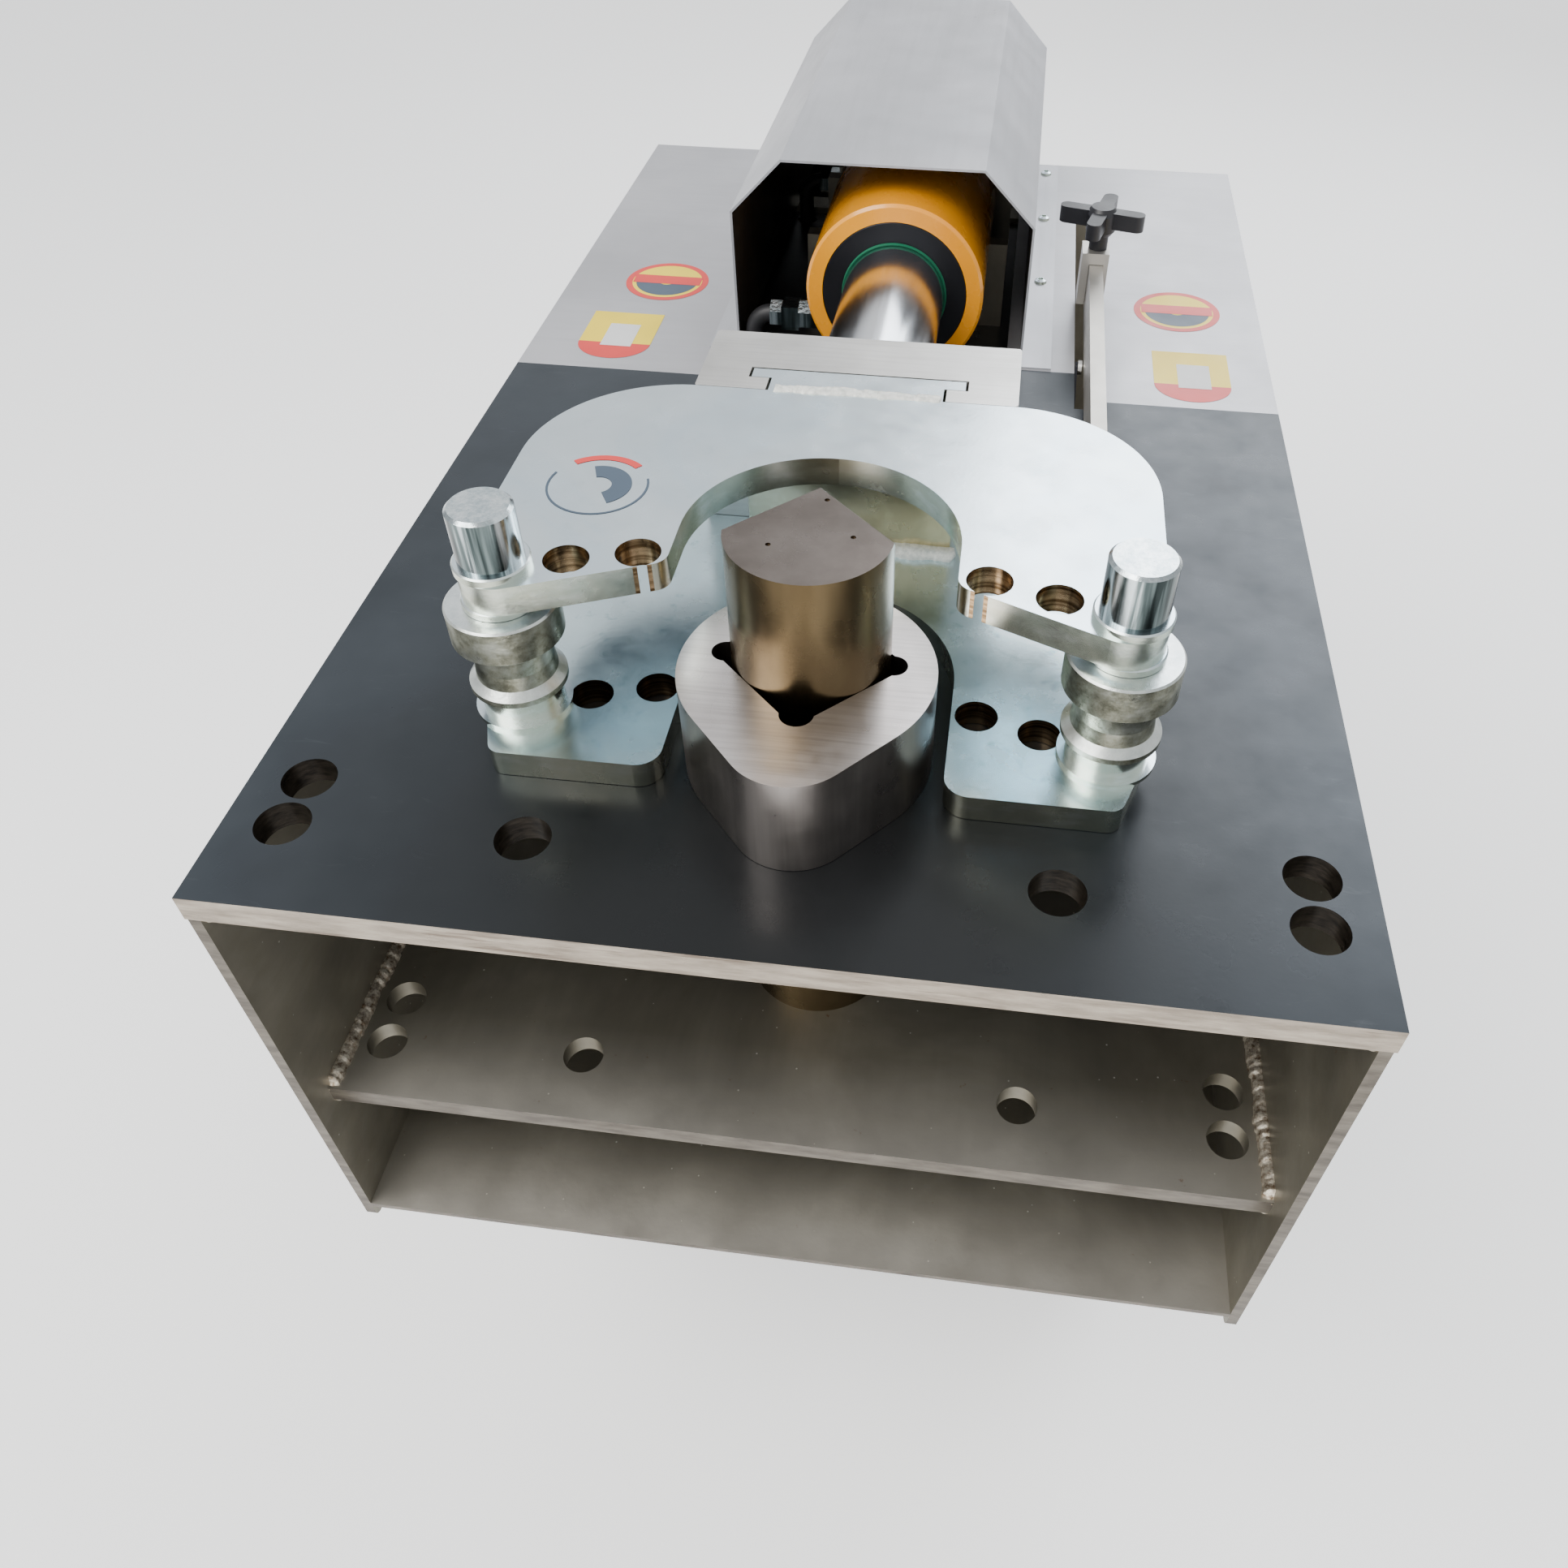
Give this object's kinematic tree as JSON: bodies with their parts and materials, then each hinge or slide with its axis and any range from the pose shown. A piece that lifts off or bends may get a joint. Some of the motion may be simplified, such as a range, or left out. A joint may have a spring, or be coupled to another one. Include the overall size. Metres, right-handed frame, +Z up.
{
  "type": "rebar bender",
  "caption": "Hydraulic reinforcing-bar bender: a sliding yoke with grooved rollers bends bar round a fixed post and pointed former on a steel table.",
  "frame": {"origin": "on the floor, centre of the overall length and width", "axes": "+Z up, +X to the right of an operator at the front, +Y from the front towards the cylinder and rear"},
  "size_m": [0.7, 1.3364, 1.077],
  "materials": {
    "table_steel": "blackened plate, satin, lightly scuffed",
    "mill_steel": "raw hot-rolled plate, satin",
    "stand_paint": "dark grey paint, satin",
    "sheet_grey": "light grey sheet, satin",
    "zinc_plate": "bright zinc plating, semi-gloss",
    "zinc_bright": "bright zinc plating, polished",
    "machined_steel": "milled, bright",
    "ground_steel": "ground, satin",
    "post_bronze": "oil-hardened, turned, brown",
    "cylinder_orange": "gloss paint",
    "gland_black": "black oxide, satin",
    "seal_green": "moulded, satin",
    "chrome": "hard chrome, polished",
    "black_rubber": "satin",
    "black_plastic": "moulded, satin",
    "stop_bar_metal": "milled, satin",
    "dark_fastener": "black oxide",
    "tank_paint": "grey paint, satin",
    "motor_paint": "blue-grey paint, satin",
    "cast_alloy": "cast, matt",
    "valve_steel": "phosphated, matt",
    "cabinet_paint": "textured grey paint",
    "button_red": "moulded, gloss",
    "button_green": "moulded, gloss"
  },
  "bodies": {
    "frame": {"top_plate": "table_steel", "mid_shelf": "mill_steel", "bottom_plate": "mill_steel", "side_plates": "mill_steel", "rear_plate": "mill_steel", "rear_bulkhead": "mill_steel", "inner_beams": "mill_steel", "cylinder_saddles": "mill_steel", "cylinder_tray": "stand_paint", "cover_left": "sheet_grey", "cover_right": "sheet_grey", "hood": "sheet_grey", "sheet_screws": "zinc_bright", "stand_legs": "stand_paint", "foot_plates": "stand_paint", "stand_rails": "stand_paint", "pack_shelf": "stand_paint", "post_sleeve": "post_bronze", "cylinder_barrel": "cylinder_orange", "cylinder_gland": "gland_black", "rod_wiper": "seal_green", "cylinder_cap": "cylinder_orange", "cap_bolts": "dark_fastener", "port_elbows": "zinc_bright", "oil_lines": "black_rubber", "limit_switch": "black_plastic", "oil_tank": "tank_paint", "tank_lid": "tank_paint", "valve_block": "valve_steel", "motor_body": "motor_paint", "gear_pump": "cast_alloy", "control_cabinet": "cabinet_paint", "cable_glands": "black_plastic"},
    "ram": {"crosshead": "machined_steel", "crosshead_keeper": "machined_steel", "keeper_bolts": "dark_fastener", "piston_rod": "chrome", "piston": "machined_steel", "trip_blade": "stop_bar_metal"},
    "yoke": {"yoke_upper_plate": "zinc_plate", "yoke_lower_plate": "zinc_plate", "yoke_web": "zinc_plate", "yoke_tongue": "zinc_plate", "roller_spacers": "zinc_plate"},
    "pin_left": {"roller_pin_left": "zinc_bright"},
    "pin_right": {"roller_pin_right": "zinc_bright"},
    "spool_left": {"roller_left": "zinc_plate"},
    "spool_right": {"roller_right": "zinc_plate"},
    "post": {"centre_post": "post_bronze"},
    "bend_former": {"former": "ground_steel"},
    "stop": {"stop_block": "stop_bar_metal"},
    "knob": {"stop_knob": "black_plastic"},
    "lever": {"limit_lever": "dark_fastener"},
    "lever_wheel": {"limit_roller": "machined_steel"},
    "tank_cap": {"filler_cap": "black_plastic"},
    "rotor": {"motor_shaft": "machined_steel"},
    "door": {"cabinet_door": "cabinet_paint"},
    "estop": {"emergency_button": "button_red"},
    "start": {"start_button": "button_green"},
    "isolator": {"main_switch": "black_plastic"}
  },
  "joints": [
    {"name": "ram_slide", "type": "slide", "parent": "frame", "child": "ram", "axis": [0, -1, 0], "range_m": [-0.16, 0.055]},
    {"name": "yoke_lift", "type": "slide", "parent": "ram", "child": "yoke", "axis": [0, 0, 1], "range_m": [0, 0.15]},
    {"name": "pin_left_lift", "type": "slide", "parent": "yoke", "child": "pin_left", "axis": [0, 0, 1], "range_m": [0, 0.17]},
    {"name": "pin_right_lift", "type": "slide", "parent": "yoke", "child": "pin_right", "axis": [0, 0, 1], "range_m": [0, 0.17]},
    {"name": "roller_left_spin", "type": "hinge", "parent": "yoke", "child": "spool_left", "pos_m": [-0.188, -0.4972, 0.972], "axis": [0, 0, 1], "continuous": true},
    {"name": "roller_right_spin", "type": "hinge", "parent": "yoke", "child": "spool_right", "pos_m": [0.188, -0.4972, 0.972], "axis": [0, 0, 1], "continuous": true},
    {"name": "post_lift", "type": "slide", "parent": "frame", "child": "post", "axis": [0, 0, 1], "range_m": [0, 0.27]},
    {"name": "former_lift", "type": "slide", "parent": "post", "child": "bend_former", "axis": [0, 0, 1], "range_m": [0, 0.165]},
    {"name": "stop_slide", "type": "slide", "parent": "ram", "child": "stop", "axis": [0, -1, 0], "range_m": [0, 0.15]},
    {"name": "knob_turn", "type": "hinge", "parent": "stop", "child": "knob", "pos_m": [0.1835, 0.1648, 0.98], "axis": [0, 0, 1], "continuous": true},
    {"name": "lever_pivot", "type": "hinge", "parent": "frame", "child": "lever", "pos_m": [0.166, -0.0082, 0.874], "axis": [1, 0, 0], "range_deg": [-20, 0], "stiffness_Nm_per_rad": 0.4},
    {"name": "lever_wheel_spin", "type": "hinge", "parent": "lever", "child": "lever_wheel", "pos_m": [0.174, 0.0378, 0.898], "axis": [1, 0, 0], "continuous": true},
    {"name": "filler_cap_lift", "type": "slide", "parent": "frame", "child": "tank_cap", "axis": [0, 0, 1], "range_m": [0, 0.04]},
    {"name": "rotor_spin", "type": "hinge", "parent": "frame", "child": "rotor", "pos_m": [0.14, 0.0318, 0.266], "axis": [0, 1, 0], "continuous": true},
    {"name": "door_hinge", "type": "hinge", "parent": "frame", "child": "door", "pos_m": [-0.156, 0.6358, 0.675], "axis": [0, 0, 1], "range_deg": [0, 110]},
    {"name": "emergency_press", "type": "slide", "parent": "door", "child": "estop", "axis": [0, -1, 0], "range_m": [0, 0.004], "stiffness_N_per_m": 900},
    {"name": "start_press", "type": "slide", "parent": "door", "child": "start", "axis": [0, -1, 0], "range_m": [0, 0.004], "stiffness_N_per_m": 600},
    {"name": "isolator_turn", "type": "hinge", "parent": "door", "child": "isolator", "pos_m": [0.09, 0.6478, 0.63], "axis": [0, 1, 0], "range_deg": [0, 90]}
  ]
}
